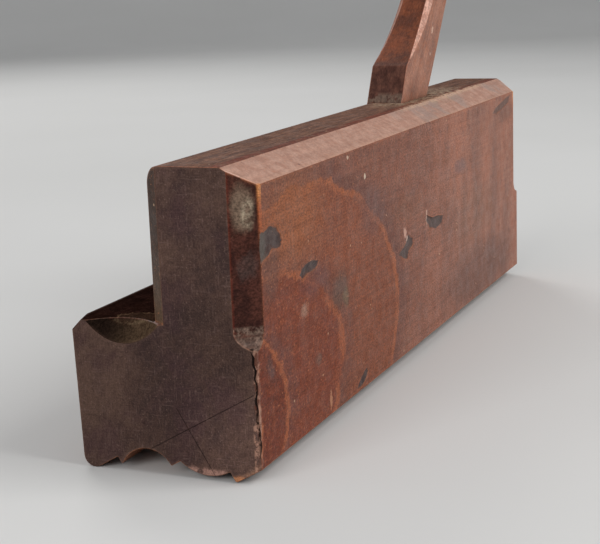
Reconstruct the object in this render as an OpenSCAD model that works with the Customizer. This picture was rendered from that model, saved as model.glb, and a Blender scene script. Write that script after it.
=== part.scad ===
// Side-escapement moulding plane for a sprung quirk ovolo and cove.
// A stepped one-piece wooden stock, a profiled iron on a sloping bed, and the wedge that locks it.
// The toe points to -Y and the heel to +Y. The flat blind side is at +X, the shoulder and the
// escapement are at -X, and the sole faces down.
// The origin is at the level of the sole's lowest edge, in the middle of the length and lower width.

/* [Stock] */
// Length from toe to heel
stock_l = 241.3; // [210:0.1:280]
// Height from the sole's lowest edge to the top
stock_h = 76.2; // [70:0.1:84]
// Width of the lower part, below the shoulder
lower_w = 50; // [46:0.1:58]
// Width of the upper part, above the shoulder
upper_w = 28.3; // [26:0.1:32]
// Depth of the shoulder below the top
shoulder_drop = 38.3; // [33:0.1:42]
// How far the lower flank leans in between the shoulder and the sole
flank_lean = 1; // [0:0.1:2]

/* [Edges of the stock] */
// Width of the long chamfer, measured across the top
long_chamfer_w = 7.5; // [4:0.1:9]
// Height of the long chamfer, measured down the blind side
long_chamfer_h = 4.6; // [3:0.1:8]
// Radius of the rounded top edge over the shoulder
top_round_r = 4.8; // [2:0.1:8]
// Radius of the shoulder's outer edge
shoulder_round_r = 1.3; // [0.5:0.1:3]
// Width of the stopped chamfers, measured across the end grain
end_chamfer_w = 6; // [3:0.1:8]
// Length of the stopped chamfers, measured along the blind side
end_chamfer_l = 4.8; // [3:0.1:8]
// Depth below the top at which the stopped chamfers start to curve out
stop_drop = 39; // [30:0.1:45]
// Radius of the gouge that cuts the stops
stop_r = 4.2; // [3.9:0.1:8]
// Width of the end chamfers over the shoulder, measured across the end grain
step_chamfer_w = 4; // [2:0.1:6]
// Length of the end chamfers over the shoulder, measured along the stock
step_chamfer_l = 3.2; // [2:0.1:6]
// Width of the gouged scoop in each end of the shoulder
scoop_w = 20.3; // [12:0.1:24]
// Depth of the scoop below the shoulder, on the end grain
scoop_depth = 5.2; // [2:0.1:7]
// Slope of the scoop's floor
scoop_slope = 45; // [30:1:60]
// Distance from the upper part's side to the middle of the scoop
scoop_inset = 7.6; // [6:0.1:12]
// Worn corner of the toe, measured along the shoulder
wear_l = 9; // [4:0.5:16]
// Worn corner of the toe, measured across and down
wear_w = 2.7; // [1.5:0.1:5]

/* [Sole] */
// Angle at which the moulding is tipped, set by the scribed spring lines
spring = 30; // [20:1:36]
// Distance from the blind side to the fence's lower edge
fence_set = 7; // [5:0.1:12]
// Depth of the fence
fence_depth = 3; // [1.5:0.1:6]
// Radius of the round that cuts the cove
cove_r = 11.4; // [9:0.1:13]
// Sweep of the cove
cove_sweep = 72; // [60:1:85]
// Width of the fillet between cove and ovolo
fillet_w = 3; // [1:0.1:4]
// Radius of the hollow that cuts the ovolo
ovolo_r = 7.6; // [6:0.1:9]
// Sweep of the ovolo, round to its quirk
ovolo_sweep = 125; // [105:1:135]
// Width of the tooth that cuts the quirk
quirk_w = 0.5; // [0.3:0.1:1.5]
// Depth of that tooth below the depth stop
quirk_depth = 2; // [1:0.1:3]

/* [Bed, mouth and escapement] */
// Slope of the bed
bed_angle = 50; // [45:1:55]
// Angle between the bed and the front of the mortise, which is the wedge's taper
wedge_angle = 12; // [9:0.5:14]
// Distance from the toe to the foot of the bed
mouth_from_toe = 114; // [95:0.5:130]
// Opening of the mouth in front of the iron
mouth_gap = 3; // [2:0.1:5]
// Width of the mortise for tang and wedge
mortise_w = 12.3; // [11:0.1:15]
// Thickness of the mortise's wall over the shoulder
cheek_t = 2.65; // [2:0.05:4]
// Radius of the conical eye at the lower part's side
eye_r_out = 21; // [16:0.5:23]
// Radius of the conical eye at its inner end
eye_r_in = 6; // [4:0.5:7]
// Height of the eye's axis above the shoulder
eye_rise = 4.5; // [2:0.1:6]
// Distance of the eye's axis in front of the bed
eye_out = 10; // [8:0.5:12]
// Height of the pocket for the blade's shoulder, above the stock's shoulder
pocket_up = 6; // [4.5:0.5:9]

/* [Iron] */
// Thickness of the iron
iron_t = 4; // [3:0.1:5]
// Distance from the blade's top down to the level of the stock's shoulder, along the bed
blade_below = 3.5; // [2:0.1:8]
// Height of the sloping shoulders between blade and tang
blade_slope = 8; // [3:0.5:12]
// Width of the tang where it leaves the blade
tang_w = 10; // [7:0.1:10.8]
// Width of the tang's upper end
tang_end_w = 8.5; // [5:0.1:10]
// Depth of the tang's end below the top of the stock, along the bed
tang_below = 4.5; // [3:0.1:12]
// Clearance of the bevel behind the cutting edge
bevel_relief = 15; // [8:1:20]

/* [Wedge] */
// Height of the wedge's front face above the stock
wedge_front_h = 13.1; // [8:0.1:18]
// Thickness of the neck at its thinnest
neck_t = 14.6; // [11:0.1:16]
// Distance of the thinnest neck above the stock's top, along the bed
neck_up = 37; // [30:0.5:42]
// Radius of the curve that runs from the neck up into the head
throat_r = 6; // [4:0.5:10]
// Radius of the round head
head_r = 12.3; // [10:0.1:14]
// Distance of the head's centre above the stock's top, along the bed
head_up = 58; // [54:0.5:66]
// Chamfer on the front edges of the neck and on the head
edge_chamfer = 2; // [1:0.1:3]
// Height above the stock's top at which the back edges' chamfers start from nothing
back_chamfer_up = 3; // [2:0.5:10]
// Distance of the wedge's tip above the level of the stock's shoulder, along the bed
tip_up = 0.5; // [0:0.5:6]
// Radius of the hollow cut into the front of the tip
tip_r = 20; // [14:0.5:30]
// Skew of that hollow, which throws shavings out at the side
tip_skew = 15; // [0:1:25]

/* [Fits] */
// Gap between iron and bed, iron and wedge, and wedge and mortise front
seat_gap = 0.05; // [0.03:0.01:0.2]
// Gap beside the iron's blade
iron_side_gap = 0.2; // [0.1:0.05:0.5]
// Gap on each side of the wedge
wedge_side_gap = 0.15; // [0.05:0.05:0.4]

/* [Hidden] */
$fn = 96;
past = 5;
reach = 80;

// Main planes of the stock
blind_x = lower_w / 2;
step_x = -lower_w / 2;
wall_x = blind_x - upper_w;
toe_y = -stock_l / 2;
shoulder_z = stock_h - shoulder_drop;

// The moulding in its own upright axes: u across, v up, from the fence's lower edge
cove_c = [0, fence_depth + cove_r];
cove_end = cove_c + cove_r * [-sin(cove_sweep), -cos(cove_sweep)];
ovolo_c = cove_end - [fillet_w + ovolo_r, 0];
tooth_tip = ovolo_c + ovolo_r * [cos(ovolo_sweep), sin(ovolo_sweep)];
stop_start = tooth_tip + [-quirk_w, quirk_depth];
fence_x = blind_x - fence_set;

// Carries a point of the moulding's axes into the stock's section
function sprung(p) = [fence_x + p.x * cos(spring) - p.y * sin(spring), p.x * sin(spring) + p.y * cos(spring)];

// The outer corner of the depth stop is rounded just enough to stand level with the fence
lean_rate = flank_lean / (shoulder_z - shoulder_round_r);
stop_at = sprung(stop_start);
corner_z = (stop_at.y + tan(spring) * (step_x + flank_lean - stop_at.x)) / (1 + tan(spring) * lean_rate);
corner_at = [step_x + flank_lean - lean_rate * corner_z, corner_z];
corner_a1 = spring;
corner_a2 = 90 + atan(lean_rate);
corner_r = max(0.8, -corner_z / (sin((corner_a1 + corner_a2) / 2) / sin((corner_a2 - corner_a1) / 2) - 1));

// Bed and breast, the back and front planes of the mortise and mouth
bed_foot = toe_y + mouth_from_toe;
breast_foot = bed_foot - iron_t / sin(bed_angle) - mouth_gap;
breast_angle = bed_angle + wedge_angle;
function bed_y(z) = bed_foot + z / tan(bed_angle);
function breast_y(z) = breast_foot + z / tan(breast_angle);

// Distances along the bed, and the breast's distance from the bed, both from the foot of the bed
foot_s = (breast_foot - bed_foot) * cos(bed_angle);
foot_n = (bed_foot - breast_foot) * sin(bed_angle);
function breast_n(s) = foot_n + (s - foot_s) * tan(wedge_angle);
shoulder_s = shoulder_z / sin(bed_angle);
top_s = stock_h / sin(bed_angle);

// Widths of mortise, throat and blade
mortise_x = wall_x + cheek_t;
middle_x = mortise_x + mortise_w / 2;
throat_x = sprung([0, fence_depth]).x + iron_side_gap / 2;
blade_x0 = stop_at.x - iron_side_gap;
blade_x1 = throat_x - iron_side_gap;

// Eye of the escapement
eye_z = shoulder_z + eye_rise;
eye_y = bed_y(eye_z) - eye_out / sin(bed_angle);
eye_l = throat_x - step_x;
eye_rate = (eye_r_out - eye_r_in) / eye_l;

// Wedge
wedge_w = mortise_w - 2 * wedge_side_gap;
back_n = iron_t + 2 * seat_gap;
function front_n(s) = breast_n(s) - seat_gap / cos(wedge_angle);
front_top_s = (stock_h - (foot_n - foot_s * tan(wedge_angle)) * cos(bed_angle)) * cos(wedge_angle) / sin(breast_angle);
nose_s = front_top_s + wedge_front_h * cos(wedge_angle);
nose = [nose_s, front_n(nose_s)];
neck_low = [top_s + neck_up, back_n + neck_t];
function arc_r(run, drop) = (run ^ 2 + drop ^ 2) / (2 * drop);
neck_drop = nose.y - neck_low.y;
neck_r = arc_r(neck_low.x - nose.x, neck_drop);
neck_c = neck_low + [0, neck_r];

// The chamfers of the neck start from nothing at the nose, so they lie on a tighter arc
chamfer_r = arc_r(neck_low.x - nose.x, neck_drop + edge_chamfer) - edge_chamfer;
chamfer_c = neck_low + [0, chamfer_r];
tip_s = shoulder_s + tip_up;

// The head laps the back's plane by a hair. The throat's circle lies inside the neck's circle and
// outside the head's, and laps both by as much
lap = 0.03;
head_c = [top_s + head_up, back_n + head_r - lap];
throat_a = neck_r - throat_r + lap;
throat_b = head_r + throat_r - lap;
centre_gap = norm(head_c - neck_c);
along = (throat_a ^ 2 - throat_b ^ 2 + centre_gap ^ 2) / (2 * centre_gap);
aside = sqrt(throat_a ^ 2 - along ^ 2);
centre_dir = (head_c - neck_c) / centre_gap;
throat_c = neck_c + along * centre_dir + aside * [centre_dir.y, -centre_dir.x];
throat_on_neck = neck_c + (throat_c - neck_c) * neck_r / throat_a;
throat_on_head = head_c + (throat_c - head_c) * head_r / throat_b;

// Cuts the corner between two edges back to an arc; the edges leave it at angles a1 and a2
module round_cut(a1, a2, r) {
    half = (a2 - a1) / 2;
    middle = [cos((a1 + a2) / 2), sin((a1 + a2) / 2)];
    touch = r / tan(half);
    difference() {
        polygon([-middle, touch * [cos(a1), sin(a1)], r / sin(half) * middle, touch * [cos(a2), sin(a2)]]);
        translate(r / sin(half) * middle) circle(r);
    }
}

// Everything above the moulded sole, in the moulding's upright axes. The round and the hollow each
// meet the straight lines inside the circles
module above_moulding() {
    difference() {
        union() {
            polygon([
                [reach, 0], [0, 0], [0, cove_end.y], [ovolo_c.x, cove_end.y], [ovolo_c.x, tooth_tip.y],
                tooth_tip - [quirk_w, 0], stop_start, [-reach, stop_start.y], [-reach, reach], [reach, reach]
            ]);
            translate(cove_c) circle(cove_r);
        }
        translate(ovolo_c) circle(ovolo_r);
    }
}

// Section of the stock, seen from the toe
module stock_section() {
    difference() {
        intersection() {
            polygon([
                [blind_x, -past], [blind_x, stock_h - long_chamfer_h], [blind_x - long_chamfer_w, stock_h],
                [wall_x, stock_h], [wall_x, shoulder_z], [step_x, shoulder_z],
                [step_x, shoulder_z - shoulder_round_r], [step_x + flank_lean + lean_rate * past, -past]
            ]);
            translate([fence_x, 0]) rotate(spring) above_moulding();
        }
        translate(corner_at) round_cut(corner_a1, corner_a2, corner_r);
        translate([wall_x, stock_h]) round_cut(-90, 0, top_round_r);
        translate([step_x, shoulder_z]) round_cut(-90, 0, shoulder_round_r);
    }
}

// Cutter for a chamfer with a gouged stop. The solid lies at -X and +Y of the corner, the chamfer
// runs up from z = 0, takes off w in X and l in Y, and curves out below with radius r
module stopped_chamfer(w, l, r, run) {
    translate([-w / 2, l / 2, 0]) rotate(atan2(-w, l)) {
        translate([0, -w - l, 0]) cube([w + l, 2 * (w + l), run]);
        translate([r, 0, 0]) rotate([90, 0, 0]) cylinder(r = r, h = 2 * (w + l), center = true);
    }
}

// Half space past the end chamfer over the shoulder, between two heights
module step_corner(z0, z1) {
    translate([wall_x + step_chamfer_w / 2, toe_y + step_chamfer_l / 2, z0])
        rotate(atan2(-step_chamfer_w, -step_chamfer_l))
            translate([0, -reach / 2, 0]) cube([reach / 2, reach, z1 - z0]);
}

// The gouge's path through the end of the shoulder
module scoop_gouge() {
    sunk = scoop_depth * cos(scoop_slope);
    gouge_r = ((scoop_w / 2) ^ 2 + sunk ^ 2) / (2 * sunk);
    translate([wall_x - scoop_inset, toe_y, shoulder_z - scoop_depth])
        rotate([scoop_slope, 0, 0]) translate([0, 0, gouge_r])
            rotate([90, 0, 0]) cylinder(r = gouge_r, h = reach, center = true);
}

// All that is cut from the toe end
module end_cuts() {
    translate([blind_x, toe_y, stock_h - stop_drop])
        stopped_chamfer(end_chamfer_w, end_chamfer_l, stop_r, stop_drop + past);
    step_corner(shoulder_z, stock_h + past);
    intersection() {
        scoop_gouge();
        union() {
            translate([wall_x - reach, toe_y - past, 0]) cube([reach, reach, stock_h]);
            step_corner(0, shoulder_z + past);
        }
    }
}

// Cuts off the corner of a solid that lies at +X, +Y and +Z. The cut meets the edges at a, b and c
module corner_cut(a, b, c) {
    normal = [1 / a, 1 / b, 1 / c];
    span = 2 * max(a, b, c);
    rotate([0, acos(normal.z / norm(normal)), atan2(normal.y, normal.x)])
        translate([-span, -span, 1 / norm(normal) - reach]) cube([2 * span, 2 * span, reach]);
}

// The corner that handling has worn off the toe's shoulder
module worn_corner() {
    translate([step_x, toe_y, shoulder_z]) mirror([0, 0, 1]) corner_cut(wear_w, wear_l, wear_w);
}

// A shape drawn in Y and Z, carried across from x0 to x1
module across(x0, x1) {
    translate([x0, 0, 0]) rotate([90, 0, 90]) linear_extrude(x1 - x0) children();
}

// The space between bed and breast, in Y and Z
module slot_side() {
    z0 = -past;
    z1 = stock_h + past;
    polygon([[breast_y(z0), z0], [bed_y(z0), z0], [bed_y(z1), z1], [breast_y(z1), z1]]);
}

// All that lies on the toe's side of the bed, in Y and Z
module before_bed() {
    z0 = -past;
    z1 = stock_h + past;
    polygon([[toe_y, z0], [bed_y(z0), z0], [bed_y(z1), z1], [toe_y, z1]]);
}

// Axes on the bed: X across, Y up the bed, Z square off the bed towards the toe
module on_bed() {
    translate([0, bed_foot, 0]) rotate([bed_angle, 0, 0]) children();
}

// A block from the sole up to the given height, between two places across the stock
module block(x0, x1, top) {
    translate([x0, toe_y, -past]) cube([x1 - x0, 2 * stock_l, top + past]);
}

// Mortise, mouth, throat and the conical eye
module escapement() {
    intersection() {
        across(step_x - past, throat_x) slot_side();
        union() {
            block(mortise_x, mortise_x + mortise_w, stock_h + past);
            block(step_x - past, wall_x, shoulder_z + past);
            block(wall_x - cheek_t, throat_x, shoulder_z);
            block(middle_x, throat_x, shoulder_z + pocket_up);
        }
    }
    intersection() {
        translate([step_x - past, eye_y, eye_z]) rotate([0, 90, 0])
            cylinder(r1 = eye_r_out + past * eye_rate, r2 = eye_r_in, h = eye_l + past);
        across(step_x - past, throat_x + past) before_bed();
    }
}

// The wooden body, cut from one piece
module stock() {
    color([0.46, 0.23, 0.16]) difference() {
        translate([0, stock_l / 2, 0]) rotate([90, 0, 0]) linear_extrude(stock_l) stock_section();
        end_cuts();
        mirror([0, 1, 0]) end_cuts();
        worn_corner();
        escapement();
    }
}

// Points of the moulding from the depth stop to the fence, in the stock's section
function moulding_line() = [
    for (p = concat(
        [[-reach, stop_start.y], stop_start, tooth_tip - [quirk_w, 0]],
        [for (i = [0:24]) ovolo_c + ovolo_r * [cos(ovolo_sweep * (1 - i / 24)), sin(ovolo_sweep * (1 - i / 24))]],
        [for (i = [0:24]) cove_c - cove_r * [sin(cove_sweep * (1 - i / 24)), cos(cove_sweep * (1 - i / 24))]]
    )) sprung(p)
];

// All that may stay of the blade above its cutting edge. The end slopes up behind the edge, so the
// line is drawn square to that slope and its heights shrink to meet the sole on the blade's face
module above_edge() {
    shrink = cos(bevel_relief) - sin(bevel_relief) / tan(bed_angle);
    line = moulding_line();
    edge = [for (p = line) [p.x, p.y * shrink]];
    edge_foot = bed_foot - (iron_t + seat_gap) / sin(bed_angle);
    translate([0, edge_foot, 0]) rotate([bevel_relief, 0, 0]) translate([0, reach, 0]) rotate([90, 0, 0])
        linear_extrude(2 * reach)
            polygon(concat(edge, [[reach, edge[len(edge) - 1].y], [reach, 2 * reach], [-reach, 2 * reach]]));
}

// The cutter: a wide profiled blade with a narrow tang
module iron() {
    blade_s = shoulder_s - blade_below;
    tang_s = top_s - tang_below;
    color([0.33, 0.3, 0.28]) intersection() {
        on_bed() translate([0, 0, seat_gap]) linear_extrude(iron_t) polygon([
            [blade_x0, -blade_slope], [blade_x1, -blade_slope], [blade_x1, blade_s - blade_slope],
            [middle_x + tang_w / 2, blade_s], [middle_x + tang_end_w / 2, tang_s],
            [middle_x - tang_end_w / 2, tang_s], [middle_x - tang_w / 2, blade_s],
            [blade_x0, blade_s - blade_slope]
        ]);
        above_edge();
    }
}

// A wheel-shaped cutter for a hollow of radius r, whose rims flare to chamfer the hollow's edges
module spool(r) {
    rotate([0, 90, 0]) rotate_extrude() polygon([
        [0, -wedge_w / 2 - past], [r + edge_chamfer + past, -wedge_w / 2 - past],
        [r, edge_chamfer - wedge_w / 2], [r, wedge_w / 2 - edge_chamfer],
        [r + edge_chamfer + past, wedge_w / 2 + past], [0, wedge_w / 2 + past]
    ]);
}

// The tapered body of the wedge and its hollow neck
module wedge_body() {
    difference() {
        across(-wedge_w / 2, wedge_w / 2) polygon([
            [tip_s - past, back_n], [head_c.x, back_n], [head_c.x, nose.y], nose,
            [tip_s - past, front_n(tip_s - past)]
        ]);
        translate([0, neck_c.x, neck_c.y]) rotate([0, 90, 0])
            cylinder(r = neck_r, h = wedge_w + past, center = true, $fn = 180);
        translate([0, chamfer_c.x, chamfer_c.y]) spool(chamfer_r, $fn = 180);
        rotate(tip_skew) translate([0, tip_s - tip_r * cos(70), back_n + tip_r * sin(70)])
            rotate([0, 90, 0]) cylinder(r = tip_r, h = reach, center = true);
        for (side = [0, 1]) mirror([side, 0, 0]) translate([-wedge_w / 2, head_c.x, back_n])
            mirror([0, 1, 0]) corner_cut(edge_chamfer, head_up - back_chamfer_up, edge_chamfer);
    }
}

// The round head with chamfered rims
module wedge_head() {
    translate([0, head_c.x, head_c.y]) rotate([0, 90, 0]) rotate_extrude() polygon([
        [0, -wedge_w / 2], [head_r - edge_chamfer, -wedge_w / 2], [head_r, edge_chamfer - wedge_w / 2],
        [head_r, wedge_w / 2 - edge_chamfer], [head_r - edge_chamfer, wedge_w / 2], [0, wedge_w / 2]
    ]);
}

// The hollow curve between neck and head
module wedge_throat() {
    into_neck = throat_on_neck + edge_chamfer * (throat_on_neck - throat_c) / throat_r * 2;
    difference() {
        across(-wedge_w / 2, wedge_w / 2) polygon([into_neck, throat_c, throat_on_head, head_c]);
        translate([0, throat_c.x, throat_c.y]) spool(throat_r);
    }
}

// The wedge, with its long taper, hollow neck and round head
module wedge() {
    color([0.52, 0.27, 0.18]) on_bed() translate([middle_x, 0, 0]) {
        wedge_body();
        wedge_head();
        wedge_throat();
    }
}

stock();
iron();
wedge();
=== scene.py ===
"""Looks of an old wooden moulding plane: a patinated stock, a dark iron and a handled wedge."""

import math
import random
from types import SimpleNamespace

import bmesh
import bpy
from mathutils import Matrix, Vector


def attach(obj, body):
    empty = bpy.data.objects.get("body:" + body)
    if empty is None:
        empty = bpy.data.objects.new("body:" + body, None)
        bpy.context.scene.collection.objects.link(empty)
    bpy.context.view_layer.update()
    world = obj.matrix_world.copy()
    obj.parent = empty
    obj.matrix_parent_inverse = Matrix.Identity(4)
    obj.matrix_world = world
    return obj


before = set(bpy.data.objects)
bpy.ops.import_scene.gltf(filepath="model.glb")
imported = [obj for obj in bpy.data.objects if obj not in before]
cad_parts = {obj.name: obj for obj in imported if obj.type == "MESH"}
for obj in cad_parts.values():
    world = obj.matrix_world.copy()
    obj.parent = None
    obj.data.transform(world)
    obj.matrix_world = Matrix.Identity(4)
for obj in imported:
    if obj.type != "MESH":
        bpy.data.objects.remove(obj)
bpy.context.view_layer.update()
stock, iron, wedge = (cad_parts[n] for n in ("stock", "iron", "wedge"))
MM = 0.001

# The model's planes, in millimetres. The toe is at -Y, and most masks treat toe and heel alike.
BLIND_X = 25.0
TOE_Y = -120.65
SHOULDER_Z, CHAMFER_Z, TOP_Z = 37.9, 71.6, 76.2
# The bed rises towards the heel from its foot, on the level of the sole
BED_FOOT, BED = -6.65, math.radians(50)
BED_COS, BED_SIN = math.cos(BED), math.sin(BED)
# How steeply the underside of the sprung sole's fence rises towards the blind side
SPRING_SLOPE = 0.577


def srgb(r, g, b):
    """Linear colour from 0-255 display values."""
    return tuple(c / 3294.6 if c <= 10 else ((c / 255 + 0.055) / 1.055) ** 2.4 for c in (r, g, b))


# --- Camera ---------------------------------------------------------------------------------

# Fitted to the corners and arrises in the photograph
LENS, SENSOR = 84.015, 36.0
CAMERA_AT = (0.1597, -0.40495, 0.1196)
CAMERA_RIGHT = (0.9203, 0.3894, -0.0371)
CAMERA_AHEAD = (-0.3881, 0.8972, -0.2109)


def make_camera():
    data = bpy.data.cameras.new("camera")
    data.sensor_fit = "HORIZONTAL"
    data.sensor_width = SENSOR
    data.lens = LENS
    data.clip_start, data.clip_end = 0.01, 50
    cam = bpy.data.objects.new("camera", data)
    bpy.context.scene.collection.objects.link(cam)
    right = Vector(CAMERA_RIGHT).normalized()
    ahead = Vector(CAMERA_AHEAD).normalized()
    up = right.cross(ahead)
    m = Matrix((right, up, -ahead)).transposed().to_4x4()
    m.translation = Vector(CAMERA_AT)
    cam.matrix_world = m
    bpy.context.scene.camera = cam


# --- Node building --------------------------------------------------------------------------


class Tree:
    """Builds one material."""

    def __init__(self, name):
        self.mat = bpy.data.materials.new(name)
        self.mat.use_nodes = True
        self.t = self.mat.node_tree
        self.t.nodes.clear()

    def node(self, kind, inputs=None, **props):
        n = self.t.nodes.new(kind)
        for k, v in props.items():
            setattr(n, k, v)
        for k, v in (inputs or {}).items():
            self.put(n.inputs[k], v)
        return n

    def put(self, socket, v):
        if isinstance(v, bpy.types.NodeSocket):
            self.t.links.new(v, socket)
        elif isinstance(v, tuple) and len(v) == 3 and socket.type == "RGBA":
            socket.default_value = (*v, 1)
        else:
            socket.default_value = v

    def math(self, op, a, b=0.0, c=0.0, clamp=False):
        n = self.node("ShaderNodeMath", {0: a, 1: b, 2: c}, operation=op, use_clamp=clamp)
        return n.outputs[0]

    def add(self, a, b):
        return self.math("ADD", a, b)

    def mul(self, a, b):
        return self.math("MULTIPLY", a, b)

    def inv(self, a):
        return self.math("SUBTRACT", 1.0, a)

    def sway(self, noise, amount):
        """A noise centred on 0 and scaled."""
        return self.mul(self.add(noise, -0.5), amount)

    def top(self, *values):
        out = values[0]
        for v in values[1:]:
            out = self.math("MAXIMUM", out, v)
        return out

    def dot(self, a, b):
        n = self.node("ShaderNodeVectorMath", {0: a, 1: b}, operation="DOT_PRODUCT")
        return n.outputs["Value"]

    def xyz(self, v):
        n = self.node("ShaderNodeSeparateXYZ", {0: v})
        return n.outputs[0], n.outputs[1], n.outputs[2]

    def pack(self, x, y, z):
        return self.node("ShaderNodeCombineXYZ", {0: x, 1: y, 2: z}).outputs[0]

    def noise(self, v, scale, detail=2.0, rough=0.5, bend=0.0):
        n = self.node(
            "ShaderNodeTexNoise",
            {"Vector": v, "Scale": scale, "Detail": detail, "Roughness": rough, "Distortion": bend},
        )
        return n.outputs["Fac"]

    def stretch(self, v, a, b, c, turn=None, shift=(0, 0, 0)):
        """Coordinates turned and then scaled on each axis. A noise reads a Mapping node with no change
        of socket type, which keeps a long material within the render's stack."""
        if turn is None:
            inputs = {"Vector": v, "Location": shift, "Scale": (a, b, c)}
            return self.node("ShaderNodeMapping", inputs).outputs[0]
        turn = tuple(math.radians(k) for k in turn)
        inputs = {"Vector": v, "Rotation": turn, "Scale": (1 / a, 1 / b, 1 / c)}
        return self.node("ShaderNodeMapping", inputs, vector_type="TEXTURE").outputs[0]

    def cells(self, v, scale):
        """Distance to the nearest of scattered points."""
        return self.node("ShaderNodeTexVoronoi", {"Vector": v, "Scale": scale}).outputs["Distance"]

    def step(self, v, lo, hi, a=0.0, b=1.0):
        """Smooth step from a to b while v goes from lo to hi. lo may be above hi."""
        if lo > hi:
            lo, hi, a, b = hi, lo, b, a
        n = self.node(
            "ShaderNodeMapRange",
            {"Value": v, "From Min": lo, "From Max": hi, "To Min": a, "To Max": b},
            interpolation_type="SMOOTHSTEP",
            clamp=False,
        )
        return n.outputs[0]

    def band(self, v, lo, hi, soft):
        """1 while v is between lo and hi."""
        return self.mul(self.step(v, lo - soft, lo + soft), self.step(v, hi + soft, hi - soft))

    def mix(self, fac, a, b):
        n = self.node("ShaderNodeMix", data_type="RGBA", blend_type="MIX")
        self.put(n.inputs[0], fac)
        self.put(n.inputs[6], a)
        self.put(n.inputs[7], b)
        return n.outputs[2]

    def tint(self, color, mask, amount, tone):
        """The colour with that amount of a tone laid over it where the mask is 1."""
        return self.mix(self.mul(mask, amount), color, tone)

    def ramp(self, fac, *stops):
        n = self.node("ShaderNodeValToRGB", {"Fac": fac})
        e = n.color_ramp.elements
        while len(e) < len(stops):
            e.new(0.5)
        for el, (pos, col) in zip(e, stops):
            el.position = pos
            el.color = (*col, 1)
        return n.outputs["Color"]

    def shade(self, color, k):
        """The colour times k."""
        return self.node("ShaderNodeHueSaturation", {"Color": color, "Value": k}).outputs[0]

    def place(self):
        """Position on the part in millimetres, and the surface's direction, both in the part's axes."""
        c = self.node("ShaderNodeTexCoord")
        inputs = {0: c.outputs["Object"], "Scale": 1 / MM}
        p = self.node("ShaderNodeVectorMath", inputs, operation="SCALE")
        return p.outputs[0], c.outputs["Normal"]

    def edge(self, radius, samples=6):
        """How far a rounding of that radius turns the surface: 0 on flats, about 1 on arrises."""
        bevel = self.node("ShaderNodeBevel", {"Radius": radius * MM}, samples=samples).outputs[0]
        flat = self.node("ShaderNodeNewGeometry").outputs["Normal"]
        return self.math("MULTIPLY", self.inv(self.dot(bevel, flat)), 5.0, clamp=True)

    def hollow(self, distance, samples=6):
        """1 in tight inner corners, 0 in the open."""
        ao = self.node("ShaderNodeAmbientOcclusion", {"Distance": distance * MM}, samples=samples)
        return self.inv(ao.outputs["AO"])

    def blob(self, u, v, centre, radii):
        """Distance from a centre as a share of the radii: 1 on the ellipse's rim. Plain numbers
        throughout, for the same reason as in stretch()."""
        (cu, cv), (ru, rv) = centre, radii
        u = self.math("MULTIPLY_ADD", u, 1 / ru, -cu / ru)
        v = self.math("MULTIPLY_ADD", v, 1 / rv, -cv / rv)
        return self.math("SQRT", self.math("MULTIPLY_ADD", v, v, self.mul(u, u)))

    def segment(self, u, v, a, b):
        """Distance from the line between two points."""
        (au, av), (bu, bv) = a, b
        run = (bu - au, bv - av)
        size = run[0] ** 2 + run[1] ** 2
        pu, pv = self.add(u, -au), self.add(v, -av)
        along = self.add(self.mul(pu, run[0]), self.mul(pv, run[1]))
        k = self.math("MULTIPLY", along, 1 / size, clamp=True)
        du, dv = self.add(pu, self.mul(k, -run[0])), self.add(pv, self.mul(k, -run[1]))
        return self.math("SQRT", self.add(self.mul(du, du), self.mul(dv, dv)))

    def finish(self, color, rough, height, deep, metal=0.0, **fixed):
        """Ends the material. The height's 0 to 1 stands for deep millimetres."""
        inputs = {"Height": height, "Strength": 1.0, "Distance": deep * MM}
        bump = self.node("ShaderNodeBump", inputs)
        fixed = {k.replace("_", " "): v for k, v in fixed.items()}
        shader = self.node(
            "ShaderNodeBsdfPrincipled",
            {
                "Base Color": color,
                "Roughness": rough,
                "Normal": bump.outputs[0],
                "Metallic": metal,
                **fixed,
            },
        )
        self.node("ShaderNodeOutputMaterial", {"Surface": shader.outputs[0]})
        return self.mat


def along_bed(t, y, z):
    """How far a point lies up the bed from its foot, and how far off it."""
    away = t.add(y, -BED_FOOT)
    run = t.add(t.mul(away, BED_COS), t.mul(z, BED_SIN))
    off = t.add(t.mul(away, -BED_SIN), t.mul(z, BED_COS))
    return run, off


# --- Stock ----------------------------------------------------------------------------------

# Each function below paints one region of the stock over the colour that it is given. The masks
# and noises that later regions need are kept on s. Places are in millimetres. The order in which
# nodes are made stays as it is, because it decides whether the material fits the render's stack.

# Nested tide marks of old spills on the blind side: centre and radii along and up, tone, amount
TIDES = (
    ((-93, 21), (73, 47), srgb(126, 70, 47), 0.88),
    ((-118, 20), (52, 30), srgb(116, 52, 29), 0.8),
    ((-125, 17), (22, 20), srgb(100, 40, 18), 0.86),
)
# Stains and rubbed patches on the blind side, given in the same way
STAINS = (
    ((-111, 50), (6, 8), srgb(98, 66, 56), 0.6),
    ((-84, 42), (9, 3.4), srgb(104, 62, 56), 0.6),
    ((-68, 36), (6, 5), srgb(92, 70, 60), 0.7),
    ((-64.5, 33), (2.2, 2.8), srgb(112, 94, 74), 0.7),
    ((-40, 53), (11, 8), srgb(110, 78, 72), 0.5),
    ((-90.8, 35.8), (2.4, 2.0), srgb(164, 128, 108), 0.55),
    ((-112, 27), (2.4, 3.0), srgb(84, 62, 58), 0.6),
    ((-84, 22), (2.4, 1.8), srgb(100, 78, 66), 0.5),
    ((-10, 48), (16, 5), srgb(128, 84, 66), 0.6),
    ((46, 53), (7, 3), srgb(116, 92, 90), 0.6),
    ((62, 34), (26, 11), srgb(122, 92, 78), 0.4),
    ((70, 13), (44, 11), srgb(112, 80, 70), 0.75),
    ((104, 66), (11, 4), srgb(118, 84, 72), 0.6),
)
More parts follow.
